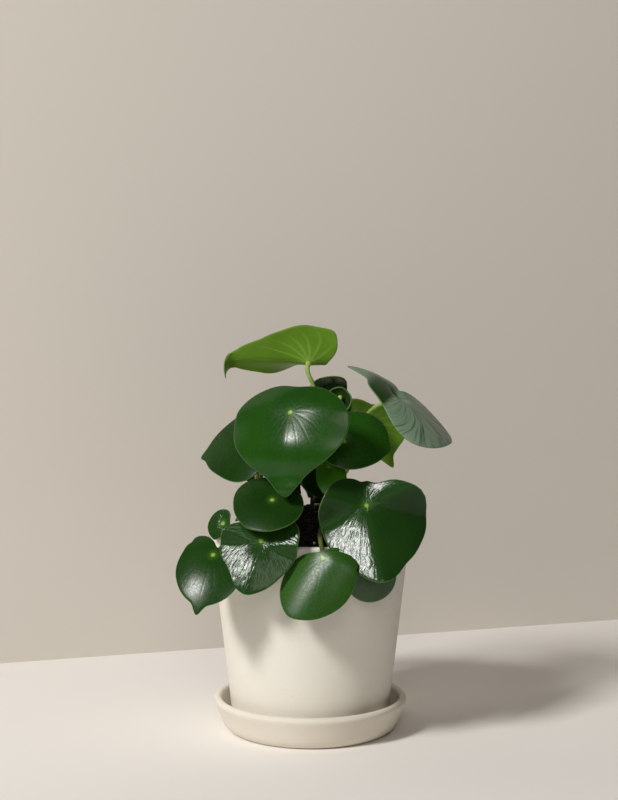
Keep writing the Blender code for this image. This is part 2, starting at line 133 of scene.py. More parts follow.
def leaf(stem, height, umbo, facing, lift, turn, reach, **form):
    """One leaf, in millimetres and degrees.

    stem, height: the stem that carries the leaf and how high up the petiole leaves it.
    umbo: the point of the upper face above the petiole's end.
    facing, lift: where the upper face looks, as an angle from the front toward +X, and upward.
    turn: how far the tip is turned in the blade's plane, from straight downhill.
    reach: from umbo to margin every 45 degrees, from the base by the right side to the tip and back.
    via: points that the petiole passes, between the stem and the blade.
    rise: the petiole's slope where it leaves the stem.
    approach: how far under the umbo the petiole turns square to the blade; 0 means that it doesn't.
    stout: the petiole's thickness, as a share of the largest.
    drip, drip_width: length of the drawn-out tip and its width as an angle; pinch narrows its sides.
    tip, base, left, right: how far the blade bends down by each of its sides.
    left_tip: more bend on the left toward the tip.
    fold, base_fold: crease along the midrib, toward the tip and the base: above 0 a ridge, below 0 a trough.
    fold_place, fold_change: where along the midrib one crease turns into the other, and over what length.
    curl, curl_from, curl_power: bend of the tip's end, where on the midrib it begins and how it grows.
    marks: bumps and notches of the margin, each with its angle, width and depth.
    sway: more or less bend along the midrib, each with its place, width and degrees.
    dimple: depth of the hollow round the umbo, which is a hump seen from below.
    """
    shape = {
        "drip": 3, "drip_width": 0.16, "pinch": 0, "dimple": 2.0, "fold": 0, "base_fold": None,
        "fold_place": 0, "fold_change": 4.5,
        "tip": 20, "base": 10, "left": 15, "right": 15, "left_tip": 0,
        "curl": 0, "curl_from": 0.7, "curl_power": 1.5, "marks": (), "sway": (),
        "via": (), "rise": 45, "approach": 12, "stout": 1.0,
    }
    shape.update(form)
    if shape["base_fold"] is None:
        shape["base_fold"] = shape["fold"]
    shape.update(stem=stem, height=height, umbo=umbo, facing=facing, lift=lift, turn=turn, reach=reach)
    return shape


LEAVES = {
    "leaf_01": leaf("stem_1", 176, (-1, 0, 234.5), 172, 45, 93, (12, 23, 27.5, 29.5, 49.5, 33, 20, 12),
                    drip=11.5, drip_width=0.1, pinch=4, tip=8, curl=95, curl_from=0.97, curl_power=0.3,
                    fold=-30, left=-50, left_tip=145, marks=((60, 12, 3.5),),
                    via=((2, -5, 219),), approach=7),
    "leaf_02": leaf("stem_1", 166, (-12, -60, 208.5), -23.5, 29, 2.5, (19, 26, 36, 38.5, 40.5, 43, 41, 28),
                    drip=11.5, drip_width=0.23, tip=36, base=25, left=20, right=18, dimple=0.6, curl=10,
                    fold=5, base_fold=1.5, sway=((16, 10, -8.5), (45, 5, -36))),
    "leaf_03": leaf("stem_3", 157, (-38.5, -25, 188), -35, 40, -70, (15, 22, 30, 29, 32, 25, 24, 22),
                    drip=5, drip_width=0.12),
    "leaf_04": leaf("stem_1", 148, (-23, -60, 155.5), -10, 50, -32, (14, 18, 22, 23, 23.5, 24, 25, 19),
                    drip=0.5, rise=10),
    "leaf_05": leaf("stem_3", 140, (-54, -30, 136.5), -33, 20, -20, (8.5, 5.5, 6.5, 7, 11, 11, 9.5, 9),
                    drip=0.5, dimple=0.8, tip=0, base=0, left=-5, right=-12, stout=0.6,
                    via=((-44, -24, 133.5),), approach=0, rise=0),
    "leaf_06": leaf("stem_3", 146, (-58.5, -62, 122.5), -11, 40, -9, (6.5, 8, 15.2, 27, 32.5, 26.5, 20, 19),
                    drip=6, drip_width=0.1, tip=18, base=10, left=12, right=12, dimple=0.4,
                    marks=((295, 8, -1.5),),
                    via=((-43, -34, 133), (-48.5, -45.5, 130.8)), approach=0, rise=0),
    "leaf_07": leaf("stem_1", 142, (-29.5, -65, 131.5), -7.5, 31, -12, (7, 23, 23.5, 25.5, 33, 27.5, 24, 13),
                    drip=1, tip=12, base=-5, left=1, right=2, fold=10.5, base_fold=-9,
                    fold_place=3, fold_change=2, dimple=1,
                    via=((-24, -46, 134), (-27, -57.5, 131.2)), approach=0, rise=0),
    "leaf_08": leaf("stem_2", 146.5, (7.5, -74, 122.7), -22, 27, -24, (7.5, 17.5, 24, 33, 39, 26, 8, 5),
                    drip=1, tip=5, base=20, left=18, right=22, dimple=0.3,
                    marks=((36, 10, -4.5), (62, 9, 1.5)),
                    via=((6, -45, 133), (6, -60, 131.3)), approach=0, rise=0),
    "leaf_09": leaf("stem_2", 150, (33.8, -58, 151.9), 3, 30.5, 9, (17, 16.5, 39.5, 41, 49, 36.5, 29.5, 22.5),
                    drip=1, pinch=2.5, tip=0, base=8, left=2, right=12, fold=22, base_fold=-24, dimple=1.5,
                    rise=10, marks=((0, 9, -1.5), (78, 16, -4))),
    "leaf_10": leaf("stem_2", 142, (37, -58, 112.5), 15, 5, 0, (12, 16, 16, 18.5, 19.5, 19, 15, 14),
                    drip=0, via=((33, -44, 133), (38, -53.5, 129.8), (38.5, -55.5, 122)),
                    approach=0, rise=0),
    "leaf_11": leaf("stem_2", 167, (52.5, -20, 213), 67, 48, 188, (43, 40, 24.5, 23, 29, 12, 9.5, 45),
                    drip=6, pinch=4, dimple=5, tip=25, left=8, right=20,
                    via=((33, -4, 196), (41, -14, 207.5)), approach=0),
    "leaf_12": leaf("stem_2", 163, (36.5, 15, 191), 190, 20, -35, (25, 23, 21, 18, 25, 26, 27, 17),
                    drip=7, drip_width=0.12, pinch=1),
    "leaf_13": leaf("stem_2", 160, (21, -30, 187.5), 10, 35, 81, (14, 18, 22, 31, 28, 21.5, 19, 18),
                    drip=2),
    "leaf_14": leaf("stem_2", 155, (11, -35, 172), 10, 38, -10, (8, 9, 11, 16, 17.5, 10, 7, 7),
                    drip=1, dimple=1, via=((22, -18, 160),), approach=8, rise=0, stout=0.7),
    "leaf_15": leaf("stem_1", 172, (14.5, 16, 216.3), 180, 50, -75, (15, 13, 11, 10.5, 9, 10.5, 17, 16),
                    drip=1, dimple=1, tip=10, stout=0.8),
    "leaf_16": leaf("stem_1", 161, (19, -5, 213.5), 170, 40, -80, (8, 9, 14, 16, 16, 8, 8, 8),
                    drip=2, dimple=1, tip=130, base=20, left=10, right=10, stout=0.8),
    "leaf_17": leaf("stem_4", 147, (9, -18, 166), -5, 30, 15, (9, 7, 6, 9, 15, 16, 15.5, 12),
                    drip=1, dimple=1, approach=7, stout=0.7),
    "leaf_18": leaf("stem_4", 149.5, (-12, 48, 190), 180, 35, 0, (15, 20, 24, 27, 30, 27, 24, 20),
                    via=((-11, 12, 162),), stout=0.8),
    "leaf_19": leaf("stem_2", 152, (52, 43, 130), 125, 30, 0, (14, 18, 21, 24, 26, 24, 21, 18),
                    via=((38, 31, 135),), approach=0, rise=0),
    "leaf_20": leaf("stem_2", 156, (34, 32, 182), 150, 40, 20, (10, 13, 16, 17, 19, 17, 16, 13),
                    via=((21, 20, 159),), approach=5, rise=20),
    "leaf_21": leaf("stem_3", 152, (-36, 36, 172), 215, 35, -10, (11, 15, 18, 19, 21, 19, 18, 15)),
    "leaf_22": leaf("stem_3", 141, (-26, 74, 112), 195, 15, 0, (12, 16, 19, 21, 24, 21, 19, 16),
                    via=((-21, 48, 133), (-24, 59, 130.5)), approach=0, rise=0),
    "leaf_23": leaf("stem_2", 146, (24, 74, 106), 165, 15, 0, (12, 16, 19, 21, 24, 21, 19, 16),
                    via=((29, 42, 134), (26, 59, 130.5)), approach=0, rise=0),
    "leaf_24": leaf("stem_3", 146, (-38, 60, 126), 215, 25, 0, (10, 13, 15, 17, 20, 17, 15, 13),
                    via=((-38, 44, 134), (-37, 52, 131.5)), approach=0, rise=0),
    "leaf_25": leaf("stem_4", 143, (12, 40, 139.5), 180, 35, 0, (7, 10, 11, 10, 9, 10, 11, 10),
                    drip=1, dimple=1, approach=4, rise=0, stout=0.7),
}

# Which leaves have which kind of blade; the others are dark
KINDS = {
    "pale": ("leaf_01", "leaf_12"),
    "large": ("leaf_02",),
    "low": ("leaf_08", "leaf_22"),
    "young_painted_light": ("leaf_14",),
    "grey": ("leaf_10",),
    "painted_sheen": ("leaf_11",),
    "crinkled": ("leaf_05", "leaf_07", "leaf_09", "leaf_19"),
    "deep": ("leaf_06", "leaf_21"),
    "shaded": ("leaf_03", "leaf_04", "leaf_15", "leaf_16", "leaf_17"),
}
OLIVE_STALKS = ("leaf_08", "leaf_09", "leaf_17", "leaf_18", "leaf_25")
RED_STALKS = ("leaf_05", "leaf_06", "leaf_10")


# Node helpers

class Nodes:
    """Short calls for building one material's node tree."""

    def __init__(self, name):
        self.material = bpy.data.materials.new(name)
        self.material.use_nodes = True
        self.tree = self.material.node_tree
        self.shader = self.tree.nodes["Principled BSDF"]

    def put(self, value, socket):
        if isinstance(value, bpy.types.NodeSocket):
            self.tree.links.new(value, socket)
        elif isinstance(value, tuple) and len(value) == 3 and socket.type == "RGBA":
            socket.default_value = (*value, 1.0)
        else:
            socket.default_value = value

    def set(self, name, value):
        self.put(value, self.shader.inputs[name])

    def math(self, operation, first, second=0.0, third=0.0):
        node = self.tree.nodes.new("ShaderNodeMath")
        node.operation = operation
        for value, socket in zip((first, second, third), node.inputs):
            self.put(value, socket)
        return node.outputs[0]

    def times(self, first, second):
        return self.math("MULTIPLY", first, second)

    def mix(self, share, first, second):
        node = self.tree.nodes.new("ShaderNodeMix")
        node.data_type = "RGBA"
        self.put(share, node.inputs[0])
        self.put(first, node.inputs[6])
        self.put(second, node.inputs[7])
        return node.outputs[2]

    def ramp(self, value, low, high, start=0.0, end=1.0):
        """value from low to high turned smoothly into start to end."""
        node = self.tree.nodes.new("ShaderNodeMapRange")
        node.interpolation_type = "SMOOTHSTEP"
        for number, item in enumerate((value, low, high, start, end)):
            self.put(item, node.inputs[number])
        return node.outputs[0]

    def noise(self, scale, detail=2.0, vector=None, rough=0.5):
        node = self.tree.nodes.new("ShaderNodeTexNoise")
        node.inputs["Scale"].default_value = scale
        node.inputs["Detail"].default_value = detail
        node.inputs["Roughness"].default_value = rough
        self.put(vector or self.place(), node.inputs["Vector"])
        return node.outputs["Fac"]

    def cell_edges(self, scale, vector):
        """Distance to the nearest border between irregular cells."""
        node = self.tree.nodes.new("ShaderNodeTexVoronoi")
        node.feature = "DISTANCE_TO_EDGE"
        node.inputs["Scale"].default_value = scale
        self.put(vector, node.inputs["Vector"])
        return node.outputs["Distance"]

    def place(self):
        return self.tree.nodes.new("ShaderNodeTexCoord").outputs["Object"]

    def attribute(self, name, output="Vector"):
        node = self.tree.nodes.new("ShaderNodeAttribute")
        node.attribute_name = name
        return node.outputs[output]

    def split(self, vector):
        node = self.tree.nodes.new("ShaderNodeSeparateXYZ")
        self.put(vector, node.inputs[0])
        return node.outputs

    def join(self, x, y, z):
        node = self.tree.nodes.new("ShaderNodeCombineXYZ")
        for value, socket in zip((x, y, z), node.inputs):
            self.put(value, socket)
        return node.outputs[0]

    def bump(self, height, distance, strength=1.0):
        node = self.tree.nodes.new("ShaderNodeBump")
        node.inputs["Strength"].default_value = strength
        node.inputs["Distance"].default_value = distance
        self.put(height, node.inputs["Height"])
        return node.outputs[0]


def fan_place(n, root, reach, rays, stretch):
    """A texture's place that runs out from the umbo in rays; a smaller stretch makes them longer."""
    return n.join(n.times(n.math("SINE", root), rays), n.times(n.math("COSINE", root), rays),
                  n.times(reach, stretch))


def blade_material(name, upper, upper_light, under, vein, gloss, shine, crinkle=0.5,
                   under_vein=(0.16, 0.30, 0.07), streaky=0.0):
    """A blade with its umbo, radiating veins, thin pale margin and paler underside.

    It is drawn in the leaf's own flat coordinates, in millimetres from the umbo, which the mesh carries.
    """
    n = Nodes(name)
    across, along, share = n.split(n.attribute("blade"))
    below = n.attribute("below", "Fac")
    reach = n.math("SQRT", n.math("ADD", n.times(across, across), n.times(along, along)))

    # Veins leave the umbo at even angles and bend toward the tip
    angle = n.math("ARCTAN2", across, along)
    root = n.math("MULTIPLY_ADD", n.times(n.math("SINE", angle), share), VEIN_BEND, angle)
    wander = n.noise(45.0, 1.0)
    root = n.math("MULTIPLY_ADD", n.math("SUBTRACT", wander, 0.5), VEIN_WANDER, root)
    turns = n.times(root, VEINS / (2 * math.pi))
    off = n.math("ABSOLUTE", n.math("SUBTRACT", n.math("FRACT", n.math("ADD", turns, 100.5)), 0.5))
    away = n.times(n.times(off, 2 * math.pi / VEINS), reach)
    fade = n.times(n.ramp(reach, 2.0, 6.0), n.ramp(share, 0.45, 0.98, 1.0, 0.15))
    wide_vein = n.times(n.ramp(away, 0.0, 1.4, 1.0, 0.0), fade)
    thin_vein = n.times(n.ramp(away, 0.1, 0.6, 1.0, 0.0), fade)
    fan = fan_place(n, root, reach, FAN_RAYS, FAN_STRETCH)
    streaks = n.noise(1.0, 3.0, fan, 0.55)

    # Upper face, then the underside, then the margin
    patch = n.noise(38.0, 3.0)
    colour = n.mix(n.ramp(patch, 0.3, 0.7), upper, upper_light)
    if streaky:
        long_fan = fan_place(n, root, reach, LONG_FAN_RAYS, LONG_FAN_STRETCH)
        colour = n.mix(n.ramp(n.noise(1.0, 2.0, long_fan), 0.45, 0.68, 0.0, streaky), colour, vein)
        # Painted shade: the hollow by the umbo, toward the base, is coloured dark where less sheen would show
        hollow = n.times(n.ramp(along, -1.0, 3.0), n.ramp(along, 14.0, 24.0, 1.0, 0.0))
        hollow = n.times(hollow, n.ramp(across, -5.0, 1.0))
        colour = n.mix(hollow, colour, HOLLOW_PAINTED_SHADE)
    colour = n.mix(n.times(thin_vein, 0.22), colour, vein)
    colour = n.mix(n.ramp(reach, 1.0, 5.0, 0.35, 0.0), colour, UMBO_GLOW_COLOUR)
    colour = n.mix(n.ramp(reach, 0.5, 1.9, 1.0, 0.0), colour, UMBO_COLOUR)
    lower = n.mix(n.ramp(patch, 0.3, 0.7), under, tuple(0.78 * c for c in under))
    lower = n.mix(n.times(wide_vein, 0.40), lower, under_vein)
    lower = n.mix(n.ramp(reach, 1.5, 6.0, 0.8, 0.0), lower, under_vein)
    colour = n.mix(below, colour, lower)
    short = n.math("SUBTRACT", 1.0, share)
    to_edge = n.math("DIVIDE", n.times(short, reach), n.math("MAXIMUM", share, 0.05))
    colour = n.mix(n.ramp(to_edge, 0.1, 0.55, 0.55, 0.0), colour, MARGIN_COLOUR)
    n.set("Base Color", colour)

    # Relief: sunk veins, streaks between them, shallow dents, a net on the crinkled kind, and grain
    grain = n.noise(1300.0, 1.0)
    dents = n.noise(190.0, 2.0)
    height = n.math("MULTIPLY_ADD", wide_vein, -0.07 * crinkle, n.times(streaks, 0.07 * crinkle))
    height = n.math("MULTIPLY_ADD", dents, 0.11 * crinkle, height)
    if crinkle > 1:
        net = n.ramp(n.cell_edges(0.7, fan), 0.0, 0.30)
        height = n.math("MULTIPLY_ADD", net, 0.065, height)
    height = n.math("MULTIPLY_ADD", grain, 0.03, height)
    n.set("Normal", n.bump(height, 0.0007))
    n.set("Roughness", n.ramp(n.noise(700.0, 2.0), 0.3, 0.7, gloss, gloss + 0.08))
    n.set("Specular IOR Level", shine)
    return n.material


def stalk_material(name, low, high, gloss=0.35):
    """A petiole or stem: two soft shades, dark flecks and a fine relief."""
    n = Nodes(name)
    fleck = n.noise(300.0, 3.0)
    cloud = n.noise(60.0, 2.0)
    colour = n.mix(n.ramp(cloud, 0.3, 0.7), low, high)
    colour = n.mix(n.ramp(fleck, 0.55, 0.75, 0.0, 0.5), colour, tuple(0.5 * c for c in low))
    n.set("Base Color", colour)
    n.set("Roughness", n.ramp(fleck, 0.3, 0.7, gloss, gloss + 0.2))
    n.set("Normal", n.bump(fleck, 0.0003, 0.6))
    return n.material


def ceramic_material(name, base, warm, dark):
    """Satin ceramic with soft mottling, fine pores and a trace of turning lines."""
    n = Nodes(name)
    x, y, z = n.split(n.place())
    cloud = n.noise(14.0, 4.0)
    fine = n.noise(420.0, 3.0)
    rings = n.noise(1.0, 2.0, n.join(n.times(x, 6.0), n.times(y, 6.0), n.times(z, 420.0)))
    colour = n.mix(n.ramp(cloud, 0.3, 0.7), base, warm)
    colour = n.mix(n.ramp(fine, 0.62, 0.8, 0.0, 0.25), colour, dark)
    n.set("Base Color", colour)
    n.set("Roughness", n.ramp(fine, 0.3, 0.7, CERAMIC_GLOSS, CERAMIC_GLOSS + 0.15))
    n.set("Specular IOR Level", 0.15)
    height = n.math("MULTIPLY_ADD", rings, 0.5, n.times(fine, 0.35))
    n.set("Normal", n.bump(height, 0.00025, 0.7))
    return n.material


def soil_material():
    """Dark, damp potting soil: partly its own dark colour, partly painted shade from the leaves above it."""
    n = Nodes("potting_soil_fine")
    crumbs = n.noise(520.0, 4.0)
    clods = n.noise(130.0, 3.0)
    # Very dark colours: the soil's own dark tone, darkened further as painted shade under the leaves
    colour = n.mix(n.ramp(crumbs, 0.4, 0.75), (0.004, 0.004, 0.003), (0.022, 0.016, 0.011))
    colour = n.mix(n.ramp(clods, 0.55, 0.8, 0.0, 0.6), colour, (0.035, 0.024, 0.015))
    n.set("Base Color", colour)
    n.set("Roughness", n.ramp(crumbs, 0.2, 0.8, 0.75, 0.95))
    n.set("Specular IOR Level", 0.2)
    n.set("Normal", n.bump(crumbs, 0.0012))
    return n.material


def plain_material(name, colour, rough, cloud_scale, cloud_colour):
    """A matt surface that drifts between two close colours."""
    n = Nodes(name)
    n.set("Base Color", n.mix(n.ramp(n.noise(cloud_scale, 3.0), 0.3, 0.7), colour, cloud_colour))
    n.set("Roughness", n.ramp(n.noise(60.0, 2.0), 0.2, 0.8, rough, rough + 0.1))
    return n.material


# Mesh helpers

def mesh_piece(name, points, faces, materials, smooth=True):
    mesh = bpy.data.meshes.new(name)
    mesh.from_pydata([tuple(p) for p in points], [], faces)
    for surface in materials:
        mesh.materials.append(surface)
    if smooth:
        mesh.shade_smooth()
    item = bpy.data.objects.new(name, mesh)
    bpy.context.scene.collection.objects.link(item)
    return item


def grid_faces(rows, columns, first=0, flip=False):
    """Quads between closed rows of points, each with as many points as there are columns."""
    faces = []
    for row in range(rows - 1):
        here = first + row * columns
        for column in range(columns):
            after = (column + 1) % columns
            quad = (here + column, here + after, here + columns + after, here + columns + column)
            faces.append(quad[::-1] if flip else quad)
    return faces


def arc(middle, radius, start, end, steps):
    """Points of an arc from start to end, in degrees."""
    angles = np.radians(np.linspace(start, end, steps + 1))
    return [(middle[0] + radius * math.cos(a), middle[1] + radius * math.sin(a)) for a in angles]


def turned(name, profile, surface):
    """A closed solid turned about Z from a closed profile of radius and height, in millimetres."""
    steps = TURNED_STEPS
    angles = [2 * math.pi * k / steps for k in range(steps)]
    points, rows = [], []
    for radius, height in profile:
        if radius == 0.0:
            rows.append([len(points)])
            points.append((0, 0, height * MM))
        else:
            rows.append(list(range(len(points), len(points) + steps)))
            points += [(radius * math.cos(a) * MM, radius * math.sin(a) * MM, height * MM) for a in angles]
    faces = []
    for upper, lower in zip(rows, rows[1:] + rows[:1]):
        if len(upper) == 1 and len(lower) == 1:
            continue
        for k in range(steps):
            j = (k + 1) % steps
            corners = [upper[k % len(upper)], lower[k % len(lower)]]
            corners += [lower[j % len(lower)], upper[j % len(upper)]]
            faces.append(tuple(dict.fromkeys(corners)))
    return mesh_piece(name, points, faces, [surface])


def pot_radius(height):
    share = (height - SAUCER_FLOOR) / (POT_RIM_HEIGHT - SAUCER_FLOOR)
    return POT_BASE_RADIUS + (POT_RIM_RADIUS - POT_BASE_RADIUS) * share


def soil_height(radius):
    wall = pot_radius(SOIL_EDGE_HEIGHT) - POT_WALL
    return SOIL_EDGE_HEIGHT + (SOIL_CROWN_HEIGHT - SOIL_EDGE_HEIGHT) * (1 - min(radius / wall, 1.0) ** 2)


def stem_point(name, height):
    """Where a stem's middle is at a height, and its radius there."""
    stem = STEMS[name]
    level = soil_height(math.hypot(*stem["foot"]))
    ground = Vector((*stem["foot"], level))
    top = Vector(stem["top"])
    share = (height - level) / (top.z - level)
    return ground.lerp(top, share), stem["radius"] * (1 - STEM_TAPER * share)


# Leaves

def blade_axes(shape):
    """Directions of the blade's right side, its tip and its upper face."""
    facing, lift, turn = (math.radians(shape[key]) for key in ("facing", "lift", "turn"))
    level = Vector((math.sin(facing), -math.cos(facing), 0.0))
    rising = Vector((0.0, 0.0, 1.0))
    upper = level * math.cos(lift) + rising * math.sin(lift)
    downhill = level * math.sin(lift) - rising * math.cos(lift)
    tip = downhill * math.cos(turn) + upper.cross(downhill) * math.sin(turn)
    return upper.cross(tip), tip, upper


def reach_at(shape, angle):
    """Distance from umbo to margin: a smooth curve through the eight values, then the pinch and the marks."""
    place = angle / (2 * math.pi) * 8
    index = np.floor(place).astype(int)
    share = place - index
    reach = np.array(shape["reach"], float)
    before, here, after, beyond = [reach[(index + step) % 8] for step in (-1, 0, 1, 2)]
    square = 2 * before - 5 * here + 4 * after - beyond
    cube = 3 * (here - after) + beyond - before
    distance = here + 0.5 * (share * (after - before) + share ** 2 * square + share ** 3 * cube)
    beside_tip = (np.abs(angle - math.pi) - PINCH_PLACE) / PINCH_WIDTH
    distance = distance - shape["pinch"] * np.exp(-(beside_tip ** 2))
    for place, width, depth in shape["marks"]:
        off = (np.degrees(angle) - place + 180) % 360 - 180
        distance = distance + depth * np.exp(-((off / width) ** 2))
    return distance


def blade_surface(shape, share, angle):
    """Upper face in millimetres, and the flat coordinates, for arrays of share and angle."""
    reach = reach_at(shape, angle)
    drip = shape["drip"] * np.exp(-((angle - math.pi) / shape["drip_width"]) ** 2)
    across = share * reach * np.sin(angle)
    along = -share * reach * np.cos(angle) + share ** 2 * drip
    tip_reach, base_reach = shape["reach"][4], shape["reach"][0]
    half_width = (shape["reach"][2] + shape["reach"][6]) / 2

    track = np.linspace(-base_reach * 2.5, tip_reach + shape["drip"] + 3, 900)
    slope = np.where(track > 0, shape["tip"] * track / tip_reach, shape["base"] * track / base_reach)
    curl_start = shape["curl_from"] * tip_reach
    curled = np.clip((track - curl_start) / (tip_reach + shape["drip"] - curl_start), 0, 1)
    slope = slope + shape["curl"] * curled ** shape["curl_power"]
    for place, width, degrees in shape["sway"]:
        slope = slope + degrees * np.exp(-((track - place) / width) ** 2)
    slope = np.radians(slope)
    step = track[1] - track[0]
    forward = np.cumsum(np.cos(slope)) * step
    down = np.cumsum(np.sin(slope)) * step
    forward -= np.interp(0, track, forward)
    down -= np.interp(0, track, down)
    forward, down, slope = (np.interp(along, track, row) for row in (forward, down, slope))

    droop = np.where(across > 0, shape["right"], shape["left"] + shape["left_tip"] * along / tip_reach)
    bow = np.radians(droop) * np.abs(across) / half_width
    bow = np.where(np.abs(bow) < 1e-6, 1e-6, bow)
    tipward = 0.5 + 0.5 * np.tanh((along - shape["fold_place"]) / shape["fold_change"])
    fold = np.radians(shape["base_fold"] + (shape["fold"] - shape["base_fold"]) * tipward)
    creased = np.hypot(across, CREASE_ROUND) - CREASE_ROUND
    side = np.abs(across) * np.sin(bow) / bow - (1 - np.cos(fold)) * creased
    drop = np.abs(across) * (1 - np.cos(bow)) / bow + creased * np.sin(fold)
    dimple_radius = DIMPLE_SHARE * half_width
    drop += shape["dimple"] * (np.exp(-(across ** 2 + along ** 2) / dimple_radius ** 2) - 1)

    right, tip, upper = (np.array(axis) for axis in blade_axes(shape))
    offsets = (np.sign(across) * side, forward - drop * np.sin(slope), -down - drop * np.cos(slope))
    points = np.array(shape["umbo"], float)
    points = points + sum(offset[..., None] * axis for offset, axis in zip(offsets, (right, tip, upper)))
    return points, across, along


def sheet_normals(points):
    """Unit normals of a grid of points [ring, step]; ring 0 is the umbo."""
    around = np.roll(points, -1, 1) - np.roll(points, 1, 1)
    outward = np.empty_like(points)
    outward[1:-1] = points[2:] - points[:-2]
    outward[0] = points[1] - points[0]
    outward[-1] = points[-1] - points[-2]
    around[0] = np.roll(points[1], -1, 0) - np.roll(points[1], 1, 0)
    normal = np.cross(outward, around)
    normal[0] = normal[1].mean(0)
    return normal / np.linalg.norm(normal, axis=-1, keepdims=True)


def blade_mesh(shape):
    """Points, faces and the blade's flat coordinates, of a closed blade with a rounded margin."""
    even = np.linspace(0, 2 * math.pi, BLADE_STEPS, endpoint=False)
    angle = even + TIP_CROWDING * np.sin(even)
    share = np.concatenate([[0.0], np.linspace(0.05, 0.9, BLADE_RINGS - 5), [0.94, 0.97, 0.988, 1.0]])
    share_grid, angle_grid = np.meshgrid(share, angle, indexing="ij")
    points, across, along = blade_surface(shape, share_grid, angle_grid)
    normal = sheet_normals(points)
    upper = np.array(blade_axes(shape)[2])
    if np.dot(normal[0, 0], upper) < 0:
        normal = -normal
    # The last four rings round the margin
    thick = BLADE_THICKNESS * np.array([1.0] * (len(share) - 4) + [0.97, 0.9, 0.78, 0.5])
    inset = BLADE_THICKNESS * np.array([0.0] * (len(share) - 4) + [0.0, 0.02, 0.07, 0.22])
    top = points - normal * inset[:, None, None]
    bottom = points - normal * (inset + thick)[:, None, None]
    flat = np.stack([across, along, share_grid], -1)
    rows = len(share)
    top_points = [top[0, 0]] + list(top[1:].reshape(-1, 3))
    low_points = [bottom[0, 0]] + list(bottom[1:].reshape(-1, 3))
    flat_rows = [flat[0, 0]] + list(flat[1:].reshape(-1, 3))
    count = len(top_points)
    faces = []
    for k in range(BLADE_STEPS):
        j = (k + 1) % BLADE_STEPS
        faces.append((0, 1 + j, 1 + k))
        faces.append((count, count + 1 + k, count + 1 + j))
        edge = 1 + (rows - 2) * BLADE_STEPS
        faces.append((edge + k, edge + j, count + edge + j, count + edge + k))
    faces += grid_faces(rows - 1, BLADE_STEPS, 1)
    faces += grid_faces(rows - 1, BLADE_STEPS, count + 1, flip=True)
    below = [0.0] * count + [1.0] * count
    return top_points + low_points, faces, flat_rows + flat_rows, below


def petiole_route(shape):
    """Points that the petiole passes, from just outside its stem to just under the umbo."""
    umbo = Vector(shape["umbo"])
    upper = blade_axes(shape)[2]
    axis, radius = stem_point(shape["stem"], shape["height"])
    outward = Vector(shape["via"][0]) - axis if shape["via"] else umbo - axis
    outward.z = 0
    outward.normalize()
    rise = math.radians(shape["rise"])
    foot_radius = PETIOLE_FOOT_RADIUS * shape["stout"]
    start = axis + outward * (radius + 0.2 + foot_radius * math.sin(rise) * 0.5)
    leave = start + (outward * math.cos(rise) + Vector((0, 0, math.sin(rise)))) * PETIOLE_START
    route = [start, leave] + [Vector(point) for point in shape["via"]]
    if shape["approach"]:
        route.append(umbo - upper * shape["approach"])
    inward = (umbo - route[-1]).normalized()
    slant = inward.cross(upper).length
    head_radius = PETIOLE_HEAD_RADIUS * shape["stout"]
    route.append(umbo - upper * (0.75 * BLADE_THICKNESS + 1.25 * head_radius * slant))
    return route


def smooth_line(route, steps):
    """Points on a smooth curve through the route."""
    curve = bpy.data.curves.new("route", "CURVE")
    curve.dimensions = "3D"
    curve.resolution_u = steps
    spline = curve.splines.new("BEZIER")
    spline.bezier_points.add(len(route) - 1)
    for knot, point in zip(spline.bezier_points, route):
        knot.co = point
        knot.handle_left_type = "AUTO"
        knot.handle_right_type = "AUTO"
    item = bpy.data.objects.new("route", curve)
    bpy.context.scene.collection.objects.link(item)
    bpy.context.view_layer.update()
    mesh = bpy.data.meshes.new_from_object(item.evaluated_get(bpy.context.evaluated_depsgraph_get()))
    line = np.array([tuple(vertex.co) for vertex in mesh.vertices])
    bpy.data.objects.remove(item, do_unlink=True)
    bpy.data.meshes.remove(mesh)
    return line


def tube_mesh(line, radii, sides):
    """A closed tube round a line of points, with rounded ends."""
    tangent = np.gradient(line, axis=0)
    tangent /= np.linalg.norm(tangent, axis=1, keepdims=True)
    side = np.cross(tangent[0], (0.3, 0.5, 0.8))
    side /= np.linalg.norm(side)
    points = []
    turns = np.linspace(0, 2 * math.pi, sides, endpoint=False)
    for place, direction, radius in zip(line, tangent, radii):
        side = side - direction * np.dot(side, direction)
        side /= np.linalg.norm(side)
        other = np.cross(direction, side)
        points += [place + radius * (math.cos(a) * side + math.sin(a) * other) for a in turns]
    faces = grid_faces(len(line), sides)
    first, last = len(points), len(points) + 1
    points += [line[0], line[-1]]
    end = (len(line) - 1) * sides
    for k in range(sides):
        j = (k + 1) % sides
        faces.append((first, j, k))
        faces.append((last, end + k, end + j))
    return points, faces


def petiole_mesh(shape):
    """A petiole that thins toward the blade and swells at both ends."""
    line = smooth_line(petiole_route(shape), PETIOLE_CURVE_STEPS)
    length = np.concatenate([[0], np.cumsum(np.linalg.norm(np.diff(line, axis=0), axis=1))])
    share = length / length[-1]
    radii = PETIOLE_FOOT_RADIUS + (PETIOLE_HEAD_RADIUS - PETIOLE_FOOT_RADIUS) * share
    radii = radii * shape["stout"]
    radii *= 1 + 0.25 * np.exp(-(length / 2.0) ** 2) + 0.45 * np.exp(-((length[-1] - length) / 2.2) ** 2)
    radii *= 1 + 0.03 * np.sin(length * 0.9)
    return tube_mesh(line, radii, PETIOLE_SIDES)


def add_layer(mesh, name, kind, values, field):
    layer = mesh.attributes.new(name, kind, "POINT")
    layer.data.foreach_set(field, np.asarray(values, np.float32).ravel())


